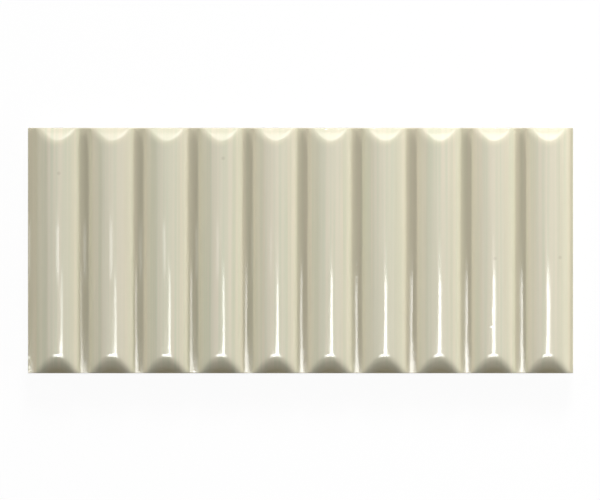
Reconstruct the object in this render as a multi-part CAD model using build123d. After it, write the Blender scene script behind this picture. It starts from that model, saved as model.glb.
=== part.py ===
"""Fluted wall tile: one pressed, fired and glazed ceramic piece, lying on its back with the glazed face up.

Rounded ribs run the short way of the tile, side by side, with narrow flat channels between them.
Every rib stops in a crowned bevel at both ends, and the channels run out through the end walls.
Outside the first and the last rib lies only part of a channel: the joint to the next tile makes up the rest.
The back is keyed with a grid of shallow pockets that hold the adhesive.

Frame: X across the ribs, Y along the ribs, Z out of the glazed face. The origin is the centre of the back.
All sizes are in millimetres.
"""

import math
import os

from build123d import *

# Slab under the ribs
tile_width = 90.0
slab_thickness = 7.0

# Ribs and channels, seen in section
rib_count = 10
rib_width = 16.6
rib_height = 3.5
foot_radius = 0.6
channel_width = 3.4
left_land = 2.6
right_land = 0.8

# Bevel at both ends of every rib
bevel_run = 5.6
bevel_drop = 2.3
bevel_radius = 25.0
ridge_radius = 1.0

# Edges: the broken outline of the glazed face, and the press draft above the back
arris = 0.25
back_draft = 0.7
back_draft_height = 3.6

# Keying pockets in the back
key_pocket = 10.5
key_land = 3.0
key_border = 5.0
key_depth = 0.7
key_wall_angle = 35.0

# Sizes that follow from those above
rib_pitch = rib_width + channel_width
tile_length = left_land + rib_count * rib_pitch - channel_width + right_land
crown_height = slab_thickness + rib_height
crown_radius = ((rib_width / 2) ** 2 + rib_height**2) / (2 * rib_height)
half_length = tile_length / 2
half_width = tile_width / 2
first_crown = left_land + rib_width / 2 - half_length

# How far a cutting solid reaches past the faces it cuts through
cut_overrun = 1.0


def rib_section():
    """Section across the ribs: crown arcs that run through foot arcs into flat channels, on a flat back."""
    # A foot arc touches the channel floor, and meets the crown arc on the line between their two centres.
    centres_apart = crown_radius + foot_radius
    centres_rise = centres_apart - rib_height
    reach = math.sqrt(centres_apart**2 - centres_rise**2)
    crown_share = crown_radius / centres_apart
    meet_x = crown_share * reach
    meet_z = crown_height - crown_radius + crown_share * centres_rise

    with BuildSketch(Plane.XZ) as section:
        with BuildLine():
            floor_start = (-half_length, slab_thickness)
            for rib in range(rib_count):
                crown_x = first_crown + rib * rib_pitch
                foot = (crown_x - reach, slab_thickness)
                crown_start = (crown_x - meet_x, meet_z)
                crown_end = (crown_x + meet_x, meet_z)
                next_foot = (crown_x + reach, slab_thickness)
                Line(floor_start, foot)
                RadiusArc(foot, crown_start, -foot_radius)
                ThreePointArc(crown_start, (crown_x, crown_height), crown_end)
                RadiusArc(crown_end, next_foot, -foot_radius)
                floor_start = next_foot
            Polyline(
                floor_start,
                (half_length, slab_thickness),
                (half_length, 0),
                (-half_length, 0),
                (-half_length, slab_thickness),
            )
        make_face()
    return section.sketch


def end_cutter():
    """What the bevel takes off one end: all that lies above an arc from the ridge down to the end wall."""
    chord = math.hypot(bevel_run, bevel_drop)
    chord_to_centre = math.sqrt(bevel_radius**2 - (chord / 2) ** 2)
    centre_y = half_width - bevel_run / 2 - chord_to_centre * bevel_drop / chord
    centre_z = crown_height - bevel_drop / 2 - chord_to_centre * bevel_run / chord

    top = centre_z + bevel_radius + cut_overrun
    outside = half_width + cut_overrun
    block = Pos(centre_y, 0) * Rectangle(outside - centre_y, top, align=Align.MIN)
    profile = block - Pos(centre_y, centre_z) * Circle(bevel_radius)
    return extrude(Plane.YZ * profile, amount=half_length + cut_overrun, both=True)


def key_pockets():
    """Shallow pockets with sloping walls, in rows and columns over the back inside a plain border."""
    step = key_pocket + key_land
    columns = int((tile_length - 2 * key_border + key_land) // step)
    rows = int((tile_width - 2 * key_border + key_land) // step)
    pocket = extrude(Rectangle(key_pocket, key_pocket), amount=key_depth, taper=key_wall_angle)
    return GridLocations(step, step, columns, rows) * pocket


def fluted_tile():
    """The whole tile as one solid."""
    tile = extrude(rib_section(), amount=half_width, both=True)
    cutter = end_cutter()
    tile -= [cutter, mirror(cutter, about=Plane.XZ)]

    # The curved edges where bevel and crown cross are the ridges.
    ridges = tile.edges().filter_by(GeomType.BSPLINE)
    tile = fillet(ridges, ridge_radius)

    walls = tile.faces().filter_by(Axis.X) + tile.faces().filter_by(Axis.Y)
    middle = slab_thickness / 2
    outline = walls.edges().filter_by(lambda edge: edge.bounding_box().min.Z > middle)
    tile = chamfer(outline, arris)

    back = tile.faces().sort_by(Axis.Z).first
    tile = chamfer(back.edges(), back_draft, back_draft_height, reference=back)
    return tile - key_pockets()


os.makedirs("parts", exist_ok=True)
export_step(fluted_tile(), "parts/fluted_tile.step")
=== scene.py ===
"""Looks of the fluted wall tile: a glossy sage glaze over a pale fired body, seen from straight above.

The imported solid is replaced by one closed, finely meshed piece inside the same box. It keeps the solid's
ribs, walls and keying pockets, and shows what the glaze makes of them: less crowned bevels, softened ridges,
dished channels, shallow ripples, rounded arrises and small firing flaws.
Sizes are in millimetres until a mesh, material, lamp or camera is made, and from there on in metres.
"""

import math
from typing import NamedTuple

import bmesh
import bpy
import numpy as np
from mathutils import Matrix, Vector


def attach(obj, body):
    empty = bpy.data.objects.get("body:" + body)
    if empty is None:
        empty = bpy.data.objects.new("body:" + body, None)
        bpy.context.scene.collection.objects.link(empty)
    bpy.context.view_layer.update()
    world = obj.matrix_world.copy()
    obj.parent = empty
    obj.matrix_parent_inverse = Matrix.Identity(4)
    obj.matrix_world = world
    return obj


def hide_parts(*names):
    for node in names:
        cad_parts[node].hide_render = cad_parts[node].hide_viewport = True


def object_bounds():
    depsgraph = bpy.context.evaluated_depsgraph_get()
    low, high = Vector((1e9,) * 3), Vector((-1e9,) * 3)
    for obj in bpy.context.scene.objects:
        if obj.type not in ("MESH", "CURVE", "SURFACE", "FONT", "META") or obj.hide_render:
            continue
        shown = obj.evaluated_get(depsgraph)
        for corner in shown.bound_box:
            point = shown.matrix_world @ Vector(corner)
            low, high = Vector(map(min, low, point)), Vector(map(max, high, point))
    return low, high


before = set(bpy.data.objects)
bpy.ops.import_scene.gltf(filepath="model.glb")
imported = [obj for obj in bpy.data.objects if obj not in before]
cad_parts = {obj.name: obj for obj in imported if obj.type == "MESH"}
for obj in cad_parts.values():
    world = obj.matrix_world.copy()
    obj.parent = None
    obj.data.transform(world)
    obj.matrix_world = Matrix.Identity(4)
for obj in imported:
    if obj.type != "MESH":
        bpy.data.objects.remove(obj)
cad_low, cad_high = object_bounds()

MM = 0.001
NODE = "fluted_tile"
PIECE = "fluted_tile_glazed"

# Sizes of the tile, the overall ones from the imported solid's bounds and the rest as in the part
half_length = cad_high.x / MM
half_width = cad_high.y / MM
crown_height = cad_high.z / MM
rib_count = 10
rib_width = 16.6
rib_height = 3.5
channel_width = 3.4
left_land = 2.6
back_draft = 0.7
back_draft_height = 3.6
key_pocket = 10.5
key_land = 3.0
key_border = 5.0
key_depth = 0.7
key_wall_angle = 35.0

# Edges and bevels under the glaze: the bevels are a little longer and less crowned than the part's
arris_radius = 0.25
bevel_run = 5.8
bevel_drop = 2.45
bevel_radius = 32.0
ridge_soft = 1.4
least_blend = 0.01

# Glaze in the channels: its dish's half width and rim slope, and where the crown's arc begins
pool_half = 1.55
pool_slope = math.radians(8.0)
foot_end = 2.45

# How deep the glaze pools in the channels, and how far under the crown the painted shade on a lower bevel is
# deepest
channel_pool = 0.6
bevel_shade_drop = 1.85

# Ripples in the glaze, with the ranges of their wavelengths
ripple_height = 0.005
ripple_waves = 40
ripple_seed = 7
ripple_across = (3.0, 14.0)
ripple_along = (12.0, 60.0)

# Rounded corners of the keying pockets, and the plain rim round the mesh grid of the back
key_corner = 1.2
back_margin = 1.0

# Sizes that follow
rib_pitch = rib_width + channel_width
slab_thickness = crown_height - rib_height
crown_radius = ((rib_width / 2) ** 2 + rib_height**2) / (2 * rib_height)
first_crown = left_land + rib_width / 2 - half_length

# Spacing of the mesh lines
channel_step = 0.2
crown_step = 0.7
bevel_step = 0.3
bevel_rows_past_ridge = 2.0
rib_step = 1.0
arris_steps = 6
wall_steps = 5
profile_points = 2001

# Rings of the walls in the press draft: height, and share of the draft that the ring is drawn in
draft_rings = ((2.0, 0.32), (0.45, 0.6), (0.12, 0.72), (0.0, 1.0))

# How far inside the rim of a keying pocket its mesh lines lie
pocket_line_insets = (-0.25, 0.0, 0.35, 0.7, 1.05, 1.6)

# Photograph's frame, and the tile's outline in it, in pixels
image_width = 600
image_height = 500
tile_left_px = 28
tile_right_px = 573
tile_top_px = 128
tile_bottom_px = 373
pixel_mm = 2 * half_length / (tile_right_px - tile_left_px)

# Firing flaws, by the pixel where the photograph shows them
speck_px = ((59, 173), (223, 158), (494, 258), (559, 257))
blister_px = ((490, 325), (401, 311))
chip_px = ((28, 367), (28, 357))


def photo_place(pixel):
    """The place on the tile, in metres and at height zero, that the middle of a photograph's pixel shows."""
    column, row = pixel
    x = column + 0.5 - (tile_left_px + tile_right_px) / 2
    y = (tile_top_px + tile_bottom_px) / 2 - row - 0.5
    return x * pixel_mm * MM, y * pixel_mm * MM, 0.0


def spread(start, stop, step):
    """Evenly spaced values from start to stop, no further apart than step."""
    return np.linspace(start, stop, max(2, math.ceil((stop - start) / step) + 1))


def soft_min(a, b, blend):
    """The lower of two heights, with the crease between them rounded off below both."""
    near = np.maximum(blend - np.abs(a - b), 0) / blend
    return np.minimum(a, b) - near**2 * blend / 4


def rib_profile():
    """Distances from the middle of a channel to the middle of a rib, and the slope and height there.

    The crown is an arc. The glaze rounds the corner at its foot, and pools in a shallow dish on the floor.
    """
    run = np.linspace(0, rib_pitch / 2, profile_points)
    crown = np.arcsin((rib_pitch / 2 - run) / crown_radius)
    glaze = np.interp(run, (0, pool_half, foot_end), (0, pool_slope, np.interp(foot_end, run, crown)))
    slope = np.tan(np.where(run < foot_end, glaze, crown))
    rise = np.cumsum(slope) * run[1]
    return run, slope, crown_height + rise - rise[-1]


def off_channel(x):
    """How far a place is from the middle of the nearest channel."""
    return rib_pitch / 2 - np.abs(np.mod(x - first_crown + rib_pitch / 2, rib_pitch) - rib_pitch / 2)


def bevel(y):
    """Height and slope of the crowned bevel that cuts both ends of the ribs."""
    chord = math.hypot(bevel_run, bevel_drop)
    to_centre = math.sqrt(bevel_radius**2 - (chord / 2) ** 2)
    centre_y = half_width - bevel_run / 2 - to_centre * bevel_drop / chord
    centre_z = crown_height - bevel_drop / 2 - to_centre * bevel_run / chord
    reach = np.maximum(np.abs(y) - centre_y, 0)
    over_centre = np.sqrt(bevel_radius**2 - reach**2)
    return centre_z + over_centre, reach / over_centre


def pressed_face(x, y):
    """Height of the face at a place, and of the ribs alone. The ridges are rounded to an even width."""
    run, slope, height = rib_profile()
    off = off_channel(x)
    ribs = np.interp(off, run, height)
    bevels, bevel_slope = bevel(y)
    blend = ridge_soft * np.hypot(np.interp(off, run, slope), bevel_slope)
    return soft_min(ribs, bevels, np.maximum(blend, least_blend)), ribs


def ripple(x, y):
    """Slow, shallow waves left in the glaze, long along the ribs and short across them. Never above zero."""
    rng = np.random.default_rng(ripple_seed)
    total = np.zeros_like(x)
    for _ in range(ripple_waves):
        across = 2 * math.pi / rng.uniform(*ripple_across)
        along = 2 * math.pi / rng.uniform(*ripple_along)
        total += np.sin(across * x * rng.choice((-1, 1)) + along * y + rng.uniform(0, 2 * math.pi))
    total *= ripple_height / math.sqrt(ripple_waves / 2)
    return total - total.max()


def face_columns():
    """Where the mesh lines of the glazed face cross X: close together in the channels and at the arrises."""
    channel = spread(0, foot_end, channel_step)
    crown = spread(foot_end, rib_pitch - foot_end, crown_step)
    rib = np.concatenate((channel, crown[1:], rib_pitch - channel[:-1][::-1]))
    first = first_crown - rib_pitch / 2
    lines = np.concatenate([rib[:-1] + first + k * rib_pitch for k in range(-1, rib_count + 1)])
    return with_arrises(lines, half_length)


def face_rows():
    """Where the mesh lines of the glazed face cross Y: close together over the bevels and at the arrises."""
    inner = half_width - bevel_run - bevel_rows_past_ridge
    ends = spread(inner, half_width - arris_radius, bevel_step)
    middle = spread(-inner, inner, rib_step)[1:-1]
    return with_arrises(np.concatenate((-ends, middle, ends)), half_width)


def with_arrises(lines, half):
    """The lines that lie inside both arrises, and the lines that round the arrises."""
    inset = arris_radius * (1 - np.sin(np.linspace(0, math.pi / 2, arris_steps + 1)))
    inside = lines[np.abs(lines) < half - arris_radius - channel_step / 2]
    return np.sort(np.concatenate((inside, half - inset, inset - half)))


def round_arrises(x, y):
    """Moves the points past the start of the arrises inwards, and says how far each point drops.

    They come to lie on a quarter ball at the corners and on a quarter rod elsewhere.
    """
    u = np.maximum(np.abs(x) - half_length + arris_radius, 0) / arris_radius
    v = np.maximum(np.abs(y) - half_width + arris_radius, 0) / arris_radius
    round_u = u * np.sqrt(1 - v**2 / 2)
    round_v = v * np.sqrt(1 - u**2 / 2)
    x = x + np.sign(x) * (round_u - u) * arris_radius
    y = y + np.sign(y) * (round_v - v) * arris_radius
    drop = arris_radius * (1 - np.sqrt(np.maximum(1 - round_u**2 - round_v**2, 0)))
    return x, y, drop


def pool_and_shade_depth(y, height, ribs):
    """How deep the glaze pools in the channels, and how deep the painted shade lies at the foot of the lower
    bevels, from zero to one.

    The powers keep the depth near the lowest places.
    """
    in_channel = channel_pool * ((crown_height - ribs) / rib_height) ** 3
    # Painted shade: only the lower bevels, which face away from the key lamp, are darkened towards their foot
    lower_bevel_shade = np.clip((ribs - height) / bevel_shade_drop, 0, 1) ** 2 * (y < 0)
    return np.maximum(in_channel, lower_bevel_shade)


def glazed_face():
    """Grid of points of the glazed face, and at each point how deep the glaze pools or the painted shade on
    the lower bevels lies.
    """
    x, y = np.meshgrid(face_columns(), face_rows(), indexing="ij")
    x, y, drop = round_arrises(x, y)
    height, ribs = pressed_face(x, y)
    z = height + ripple(x, y) - drop
    return np.stack((x, y, z), axis=-1), pool_and_shade_depth(y, height, ribs)


def wall_rings(rim):
    """Rings of points down the walls: straight under the arris, then drawn in by the press draft."""
    rings = []
    for t in np.linspace(0, 1, wall_steps + 1)[1:]:
        ring = rim.copy()
        ring[:, 2] = rim[:, 2] + t * (back_draft_height - rim[:, 2])
        rings.append(ring)
    for z, inset in draft_rings:
        ring = rim.copy()
        ring[:, 0] *= (half_length - inset * back_draft) / half_length
        ring[:, 1] *= (half_width - inset * back_draft) / half_width
        ring[:, 2] = z
        rings.append(ring)
    return rings


def pocket_lines(half):
    """Mesh lines over the back in one direction, close at the pockets' walls, and the pockets' centres."""
    step = key_pocket + key_land
    count = int((2 * half - 2 * key_border + key_land) // step)
    insets = np.array(pocket_line_insets)
    middle = key_pocket / 2
    one = np.concatenate((insets - middle, (0.0,), middle - insets[::-1]))
    centres = (np.arange(count) - (count - 1) / 2) * step
    lines = (centres[:, None] + one[None, :]).ravel()
    border = half - back_draft - back_margin
    return np.concatenate(((-border,), lines, (border,))), centres


def keyed_back():
    """Grid of points of the back, with the keying pockets sunk into it."""
    columns, centres_x = pocket_lines(half_length)
    rows, centres_y = pocket_lines(half_width)
    x, y = np.meshgrid(columns, rows, indexing="ij")
    off_x = np.abs(x[..., None] - centres_x).min(axis=-1)
    off_y = np.abs(y[..., None] - centres_y).min(axis=-1)
    reach_x = np.maximum(off_x - key_pocket / 2 + key_corner, 0)
    reach_y = np.maximum(off_y - key_pocket / 2 + key_corner, 0)
    inside = key_corner - np.hypot(reach_x, reach_y)
    inside = np.where((reach_x == 0) & (reach_y == 0), key_pocket, inside)
    z = np.clip(inside / math.tan(math.radians(key_wall_angle)), 0, key_depth)
    return np.stack((x, y, z), axis=-1)


def outline(grid):
    """The grid's four border lines as index lists, from corner to corner, anticlockwise from the left end."""
    return [grid[:, 0], grid[-1, :], grid[::-1, -1], grid[0, ::-1]]


# Material slots of the mesh, in the order in which make_tile fills them
FACE_SLOT = 0
WALL_SLOT = 1
BACK_SLOT = 2


class MeshParts:
    """Points, faces and face materials, gathered piece by piece."""

    def __init__(self):
        self.points = []
        self.faces = []
        self.materials = []
        self.count = 0

    def add_points(self, points):
        """Adds points and returns their indices in the same arrangement."""
        flat = points.reshape(-1, 3)
        ids = np.arange(self.count, self.count + len(flat)).reshape(points.shape[:-1])
        self.points.append(flat)
        self.count += len(flat)
        return ids

    def add_faces(self, faces, material):
        """Adds faces that share a material slot."""
        self.faces.extend(faces)
        self.materials.extend([material] * len(faces))

    def add_grid(self, ids, material):
        """Four-sided faces between neighbouring points of a grid."""
        quads = np.stack((ids[:-1, :-1], ids[1:, :-1], ids[1:, 1:], ids[:-1, 1:]), axis=-1)
        self.add_faces(quads.reshape(-1, 4).tolist(), material)

    def add_zip(self, a, along_a, b, along_b, material):
        """Triangles between two lines of points that run side by side with different spacing."""
        i = j = 0
        faces = []
        while i < len(a) - 1 or j < len(b) - 1:
            if j == len(b) - 1 or (i < len(a) - 1 and along_a[i + 1] <= along_b[j + 1]):
                faces.append((int(a[i]), int(a[i + 1]), int(b[j])))
                i += 1
            else:
                faces.append((int(a[i]), int(b[j + 1]), int(b[j])))
                j += 1
        self.add_faces(faces, material)

    def mesh(self, name):
        """All that was gathered as one smooth mesh, in metres."""
        mesh = bpy.data.meshes.new(name)
        mesh.from_pydata((np.concatenate(self.points) * MM).tolist(), [], self.faces)
        mesh.polygons.foreach_set("material_index", self.materials)
        mesh.polygons.foreach_set("use_smooth", [True] * len(self.faces))
        return mesh


def add_walls(parts, face, sides):
    """Walls from the outline of the face down to the back. Returns the lowest ring of points."""
    loop = np.concatenate([side[:-1] for side in sides])
    rim = face.reshape(-1, 3)[loop]
    rings = [loop] + [parts.add_points(ring) for ring in wall_rings(rim)]
    for upper, lower in zip(rings, rings[1:]):
        closed = np.stack((np.append(lower, lower[0]), np.append(upper, upper[0])), axis=-1)
        parts.add_grid(closed, WALL_SLOT)
    return rings[-1]


def close_back(parts, sides, last_ring, back_ids):
    """Closes the strip between the lowest ring of the walls and the grid of the back."""
    points = np.concatenate(parts.points)
    start = 0
    for side, inner in zip(sides, outline(back_ids)):
        outer = np.take(last_ring, np.arange(start, start + len(side)), mode="wrap")
        start += len(side) - 1
        axis = np.argmax(np.ptp(points[outer], axis=0))
        run_outer = np.abs(points[outer, axis] - points[outer[0], axis])
        run_inner = np.abs(points[inner, axis] - points[inner[0], axis])
        parts.add_zip(outer, run_outer / run_outer[-1], inner, run_inner / run_inner[-1], BACK_SLOT)


def turn_outwards(mesh):
    """Turns all faces of a closed mesh outwards."""
    work = bmesh.new()
    work.from_mesh(mesh)
    bmesh.ops.recalc_face_normals(work, faces=work.faces)
    work.to_mesh(mesh)
    work.free()


def tile_mesh():
    """The whole tile as one closed mesh, with the depth of the glaze pools and of the painted shade on the
    lower bevels kept as an attribute.
    """
    parts = MeshParts()
    face, pool_and_shade = glazed_face()
    face_ids = parts.add_points(face)
    parts.add_grid(face_ids, FACE_SLOT)
    sides = outline(face_ids)
    last_ring = add_walls(parts, face, sides)
    back_ids = parts.add_points(keyed_back())
    parts.add_grid(back_ids[::-1], BACK_SLOT)
    close_back(parts, sides, last_ring, back_ids)

    mesh = parts.mesh(PIECE)
    depth = np.zeros(parts.count, np.float32)
    depth[face_ids.ravel()] = pool_and_shade.ravel()
    mesh.attributes.new("pool_and_shade", "FLOAT", "POINT").data.foreach_set("value", depth)
    turn_outwards(mesh)
    return mesh


class Pattern(NamedTuple):
    """A noise: bumps a metre along each axis, detail, roughness, and the range of its values that is used."""

    scale: tuple
    detail: float
    roughness: float = 0.5
    low: float = 0.0
    high: float = 1.0


class Paint:
    """A material's node tree, with short calls that add a node and link it."""

    def __init__(self, name):
        self.material = bpy.data.materials.new(name)
        self.material.use_nodes = True
        self.nodes = self.material.node_tree.nodes
        self.links = self.material.node_tree.links
        self.shader = self.nodes["Principled BSDF"]
        self.place = self.nodes.new("ShaderNodeTexCoord").outputs["Object"]

    def put(self, socket, value):
        """Links a socket to another, or sets its value."""
        if isinstance(value, bpy.types.NodeSocket):
            self.links.new(value, socket)
        else:
            socket.default_value = value

    def stretched(self, scale):
        """Object coordinates multiplied by a scale for each axis."""
        node = self.nodes.new("ShaderNodeMapping")
        self.put(node.inputs["Vector"], self.place)
        node.inputs["Scale"].default_value = scale
        return node.outputs["Vector"]

    def noise(self, pattern):
        """A pattern's values as they are."""
        node = self.nodes.new("ShaderNodeTexNoise")
        self.put(node.inputs["Vector"], self.stretched(pattern.scale))
        node.inputs["Scale"].default_value = 1.0
        node.inputs["Detail"].default_value = pattern.detail
        node.inputs["Roughness"].default_value = pattern.roughness
        return node.outputs["Fac"]

    def ramp(self, value, low, high, out_low=0.0, out_high=1.0):
        """Maps a value from one range to another, and keeps it inside."""
        node = self.nodes.new("ShaderNodeMapRange")
        self.put(node.inputs["Value"], value)
        names = ("From Min", "From Max", "To Min", "To Max")
        for name, number in zip(names, (low, high, out_low, out_high)):
            node.inputs[name].default_value = number
        return node.outputs["Result"]

    def cover(self, pattern, out_low=0.0, out_high=1.0):
        """A pattern's values, with the range that is used mapped to another."""
        return self.ramp(self.noise(pattern), pattern.low, pattern.high, out_low, out_high)

    def math(self, operation, a, b=0.0):
        """One operation on two values."""
        node = self.nodes.new("ShaderNodeMath")
        node.operation = operation
        self.put(node.inputs[0], a)
        self.put(node.inputs[1], b)
        return node.outputs["Value"]

    def mix(self, share, a, b):
        """A colour between two colours. The node's colour sockets share their names, so they go by number."""
        node = self.nodes.new("ShaderNodeMix")
        node.data_type = "RGBA"
        for socket, value in zip((node.inputs[0], node.inputs[6], node.inputs[7]), (share, a, b)):
            self.put(socket, value)
        return node.outputs[2]

    def spots(self, pixels, radius):
        """One near the places that the pixels show, fading from a third of the radius to zero at its end."""
        total = 0.0
        for pixel in pixels:
            away = self.nodes.new("ShaderNodeVectorMath")
            away.operation = "DISTANCE"
            self.put(away.inputs[0], self.stretched((1, 1, 0)))
            away.inputs[1].default_value = photo_place(pixel)
            total = self.math("MAXIMUM", self.ramp(away.outputs["Value"], radius, radius / 3), total)
        return total

    def attribute(self, name):
        """A value that the mesh keeps for each point."""
        node = self.nodes.new("ShaderNodeAttribute")
        node.attribute_name = name
        return node.outputs["Fac"]

    def height(self):
        """The point's height over the back, in metres."""
        node = self.nodes.new("ShaderNodeSeparateXYZ")
        self.put(node.inputs[0], self.place)
        return node.outputs["Z"]

    def bump(self, height, distance):
        """A normal tilted by fine relief, which is a distance in metres high where the height is one."""
        node = self.nodes.new("ShaderNodeBump")
        node.inputs["Strength"].default_value = 1.0
        node.inputs["Distance"].default_value = distance
        self.put(node.inputs["Height"], height)
        return node.outputs["Normal"]

    def set(self, **inputs):
        """Sets or links the shader's own inputs, named with underscores for spaces."""
        for name, value in inputs.items():
            self.put(self.shader.inputs[name.replace("_", " ")], value)


# Colours of the glaze, its flaws and the clay
GLAZE = (0.600, 0.570, 0.445, 1.0)
GLAZE_GREEN = (0.560, 0.560, 0.425, 1.0)
GLAZE_WARM = (0.640, 0.588, 0.463, 1.0)
# The deeper glaze of the channels, also used as painted shade on the lower bevels
GLAZE_POOL_AND_SHADE = (0.490, 0.437, 0.290, 1.0)
GLAZE_CHIPPED = (0.86, 0.83, 0.70, 1.0)
SPECK = (0.22, 0.17, 0.10, 1.0)
BISCUIT = (0.72, 0.66, 0.55, 1.0)
BISCUIT_STAIN = (0.60, 0.52, 0.41, 1.0)

# Gloss: the glaze mirrors less where it pools, and under the painted shade on the lower bevels
GLAZE_IOR = 1.5
GLAZE_ROUGHNESS = 0.07
SHEEN_SHARP = 0.06
SHEEN_DULL = 0.09
MIRROR = 0.5
MIRROR_IN_POOL = 0.25
BISCUIT_ROUGHNESS = 0.85

# Uneven colour and fine relief. The streaks' scale is no whole number a rib, so that no two ribs look alike.
STREAKS = Pattern((870, 7, 60), 3.0, low=0.36, high=0.64)
CLOUDS = Pattern((28, 22, 30), 2.0, low=0.35, high=0.65)
SHEEN = Pattern((120, 40, 120), 3.0, low=0.3, high=0.7)
PEEL = Pattern((420, 260, 420), 2.0)
CLAY_GRAIN = Pattern((1500, 1500, 1500), 4.0, 0.7, low=0.35, high=0.7)
CLAY_STAINS = Pattern((35, 30, 60), 4.0, 0.6, low=0.5, high=0.75)
WALL_GRIT = Pattern((1100, 1100, 1100), 4.0)
BACK_GRIT = Pattern((1100, 1100, 1100), 5.0, 0.65)
GLAZE_RUNS = Pattern((75, 75, 0), 3.0, low=0.3, high=0.7)
CLOUD_SHARE = 0.5
GRAIN_SHARE = 0.35
STAIN_SHARE = 0.5
PEEL_HEIGHT = 0.008 * MM
WALL_GRIT_HEIGHT = 0.12 * MM
BACK_GRIT_HEIGHT = 0.15 * MM

# Flaws: their size, how dark a speck is, and how many times a blister is as high as the peel
SPECK_RADIUS = 0.9 * MM
SPECK_SHARE = 0.2
CHIP_RADIUS = 0.9 * MM
BLISTER_RADIUS = 1.0 * MM
BLISTER_PEELS = 5.0

# Where the glaze ends on the walls: lowest and highest place over the back, and how softly it ends
GLAZE_END_LOW = 3.6 * MM
GLAZE_END_HIGH = 5.6 * MM
GLAZE_END_FADE = (-0.25 * MM, 0.15 * MM)


def glaze_colour(paint):
    """Sage glaze: faint streaks down the ribs, deeper where it pools, painted shade at the foot of the lower
    bevels, a few iron specks, and pale chips.
    """
    colour = paint.mix(paint.cover(STREAKS), GLAZE_GREEN, GLAZE_WARM)
    colour = paint.mix(paint.math("MULTIPLY", paint.cover(CLOUDS), CLOUD_SHARE), colour, GLAZE)
    # Deeper glaze in the channels, and painted shade at the foot of the lower bevels, in one colour
    colour = paint.mix(paint.attribute("pool_and_shade"), colour, GLAZE_POOL_AND_SHADE)
    specks = paint.spots(speck_px, SPECK_RADIUS)
    colour = paint.mix(paint.math("MULTIPLY", specks, SPECK_SHARE), colour, SPECK)
    return paint.mix(paint.spots(chip_px, CHIP_RADIUS), colour, GLAZE_CHIPPED)


def glaze_material():
    """The glossy face, with a faint orange peel and a few blisters."""
    paint = Paint("sage_glaze")
    blisters = paint.math("MULTIPLY", paint.spots(blister_px, BLISTER_RADIUS), BLISTER_PEELS)
    paint.set(
        Base_Color=glaze_colour(paint),
        Roughness=paint.cover(SHEEN, SHEEN_SHARP, SHEEN_DULL),
        IOR=GLAZE_IOR,
        Specular_IOR_Level=paint.ramp(paint.attribute("pool_and_shade"), 0, channel_pool, MIRROR, MIRROR_IN_POOL),
        Normal=paint.bump(paint.math("ADD", paint.noise(PEEL), blisters), PEEL_HEIGHT),
    )
    return paint.material


def biscuit_colour(paint):
    """Pale fired clay with fine grain and faint kiln stains."""
    grain = paint.math("MULTIPLY", paint.cover(CLAY_GRAIN), GRAIN_SHARE)
    stains = paint.math("MULTIPLY", paint.cover(CLAY_STAINS), STAIN_SHARE)
    return paint.mix(stains, paint.mix(grain, BISCUIT, BISCUIT_STAIN), BISCUIT_STAIN)


def edge_material():
    """The walls: glaze that ran over the arris and stops in an uneven line, and bare clay under it."""
    paint = Paint("glazed_edge")
    glaze_end = paint.cover(GLAZE_RUNS, GLAZE_END_LOW, GLAZE_END_HIGH)
    bare = paint.ramp(paint.math("SUBTRACT", glaze_end, paint.height()), *GLAZE_END_FADE)
    grit = paint.math("MULTIPLY", bare, paint.noise(WALL_GRIT))
    paint.set(
        Base_Color=paint.mix(bare, glaze_colour(paint), biscuit_colour(paint)),
        Roughness=paint.ramp(bare, 0, 1, GLAZE_ROUGHNESS, BISCUIT_ROUGHNESS),
        IOR=GLAZE_IOR,
        Normal=paint.bump(grit, WALL_GRIT_HEIGHT),
    )
    return paint.material


def biscuit_material():
    """The bare keyed back."""
    paint = Paint("biscuit_back")
    paint.set(
        Base_Color=biscuit_colour(paint),
        Roughness=BISCUIT_ROUGHNESS,
        IOR=GLAZE_IOR,
        Normal=paint.bump(paint.noise(BACK_GRIT), BACK_GRIT_HEIGHT),
    )
    return paint.material


def make_tile():
    """The dressed tile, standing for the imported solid."""
    tile = bpy.data.objects.new(PIECE, tile_mesh())
    bpy.context.scene.collection.objects.link(tile)
    for material in (glaze_material(), edge_material(), biscuit_material()):
        tile.data.materials.append(material)
    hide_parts(NODE)
    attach(tile, "root")


FLOOR_SIZE = 40.0
FLOOR_GAP = 0.0001
FLOOR_COLOUR = (0.9, 0.9, 0.9, 1.0)
FLOOR_ROUGHNESS = 0.9
FLOOR_WHITE = 0.95


def floor_material():
    """Pale floor. It looks nearly white to the camera and in reflections, and keeps a faint shadow."""
    paint = Paint("white_floor")
    paint.set(Base_Color=FLOOR_COLOUR, Roughness=FLOOR_ROUGHNESS)
    rays = paint.nodes.new("ShaderNodeLightPath").outputs
    seen = paint.math("MAXIMUM", rays["Is Camera Ray"], rays["Is Glossy Ray"])
    seen = paint.math("MAXIMUM", seen, rays["Is Transmission Ray"])
    glow = paint.nodes.new("ShaderNodeEmission")
    both = paint.nodes.new("ShaderNodeMixShader")
    paint.put(both.inputs[0], paint.math("MULTIPLY", seen, FLOOR_WHITE))
    paint.put(both.inputs[1], paint.shader.outputs[0])
    paint.put(both.inputs[2], glow.outputs[0])
    paint.put(paint.nodes["Material Output"].inputs["Surface"], both.outputs[0])
    return paint.material


def make_floor():
    """One large square just under the tile."""
    mesh = bpy.data.meshes.new("floor")
    half = FLOOR_SIZE / 2
    corners = [(x * half, y * half, -FLOOR_GAP) for x, y in ((-1, -1), (1, -1), (1, 1), (-1, 1))]
    mesh.from_pydata(corners, [], [(0, 1, 2, 3)])
    mesh.materials.append(floor_material())
    floor = bpy.data.objects.new("floor", mesh)
    bpy.context.scene.collection.objects.link(floor)


FULL_BEAM = 180.0
TILE_CENTRE = (0.0, 0.0, 0.01)
WORLD_COLOUR = (1.0, 1.0, 1.0, 1.0)
WORLD_LEVEL = 0.02


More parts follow.
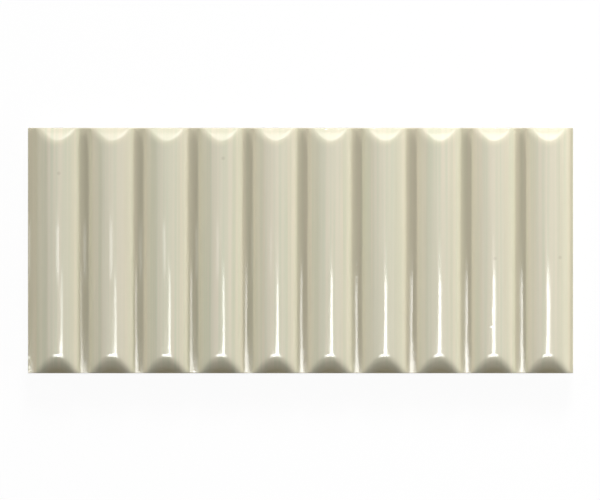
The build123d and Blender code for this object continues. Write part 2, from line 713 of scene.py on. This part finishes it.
def make_softbox(name, place, aim, size, watts, beam=FULL_BEAM, diffuse=True, glossy=True):
    """A rectangular lamp at a place, turned to a point, in metres, with a beam so many degrees wide.

    It can light the glaze, mirror in it, or both.
    """
    data = bpy.data.lights.new(name, "AREA")
    data.shape = "RECTANGLE"
    data.size, data.size_y = size
    data.energy = watts
    data.spread = math.radians(beam)
    lamp = bpy.data.objects.new(name, data)
    bpy.context.scene.collection.objects.link(lamp)
    lamp.location = place
    lamp.rotation_mode = "QUATERNION"
    lamp.rotation_quaternion = (Vector(aim) - Vector(place)).to_track_quat("-Z", "Y")
    lamp.visible_camera = False
    lamp.visible_diffuse = diffuse
    lamp.visible_glossy = glossy


def make_overhead(name, place, size, watts, beam=FULL_BEAM):
    """A lamp that faces straight down and only mirrors in the glaze."""
    x, y, _ = place
    make_softbox(name, place, (x, y, 0.0), size, watts, beam, diffuse=False)


def make_lights():
    """Softboxes that light the tile: a low key lamp beyond the upper edge, and a low lamp at each side.

    The key and left lamps are aimed past the tile, so that their light falls off across it.
    """
    make_softbox("key", (0.27, 2.0, 0.94), (3.0, 0.5, 0.01), (1.2, 0.5), 141.0, glossy=False)
    make_softbox("right", (2.0, 0.0, 0.65), TILE_CENTRE, (1.6, 0.4), 37.0, glossy=False)
    make_softbox("left", (-1.95, 0.4, 0.65), (-1.2, 0.4, 2.2), (1.6, 0.4), 196.0, glossy=False)


def make_mirror_lights():
    """Lamps that only mirror in the glaze.

    The card whitens the upper bevels, and the strips the flanks. The front lamp flares on the lower ridges,
    and the streak lamps draw the streaks down the ribs and channels. Those that overlap hang at different
    heights, because they would hide one another.
    """
    make_softbox("card", (0.25, 1.1, 1.2), (0.07, 0.07, 0.01), (2.2, 0.5), 0.9, beam=40.0, diffuse=False)
    make_softbox("strip_right", (0.70, 0.0, 2.0), TILE_CENTRE, (0.60, 1.6), 3.2, diffuse=False)
    make_softbox("strip_left", (-0.70, 0.0, 2.0), TILE_CENTRE, (0.60, 1.6), 3.2, diffuse=False)
    make_overhead("front", (0.0, -0.163, 0.80), (1.0, 0.17), 1.0, beam=44.0)
    make_overhead("streak", (0.21, -0.047, 0.80), (0.36, 0.06), 0.019, beam=26.0)
    make_overhead("streak_narrow", (0.10, -0.047, 0.78), (0.09, 0.06), 0.085)
    make_overhead("streak_end", (0.06, -0.068, 0.76), (0.18, 0.018), 0.13)
    make_overhead("streak_upper", (-0.096, 0.0, 0.25), (0.05, 0.023), 0.0010, beam=46.0)


def make_world():
    """A faint plain white all round."""
    world = bpy.data.worlds.new("studio")
    bpy.context.scene.world = world
    world.use_nodes = True
    background = world.node_tree.nodes["Background"]
    background.inputs["Color"].default_value = WORLD_COLOUR
    background.inputs["Strength"].default_value = WORLD_LEVEL


CAMERA_HEIGHT = 1.236
CAMERA_CLIP = (0.01, 20.0)
SENSOR = 36.0


def make_camera():
    """Straight above the tile, with the photograph's upper edge towards +Y and its frame round the tile.

    The outline that the photograph shows lies under the arris of the channels.
    """
    data = bpy.data.cameras.new("camera")
    camera = bpy.data.objects.new("camera", data)
    bpy.context.scene.collection.objects.link(camera)
    pixel = pixel_mm * MM
    distance = CAMERA_HEIGHT - (slab_thickness - arris_radius) * MM
    data.sensor_width = SENSOR
    data.lens = SENSOR * distance / (pixel * image_width)
    x = (image_width - tile_left_px - tile_right_px) / 2 * pixel
    y = (tile_top_px + tile_bottom_px - image_height) / 2 * pixel
    camera.location = (x, y, CAMERA_HEIGHT)
    data.clip_start, data.clip_end = CAMERA_CLIP
    bpy.context.scene.camera = camera


make_tile()
make_floor()
make_lights()
make_mirror_lights()
make_world()
make_camera()
bpy.context.scene.view_settings.view_transform = "Standard"
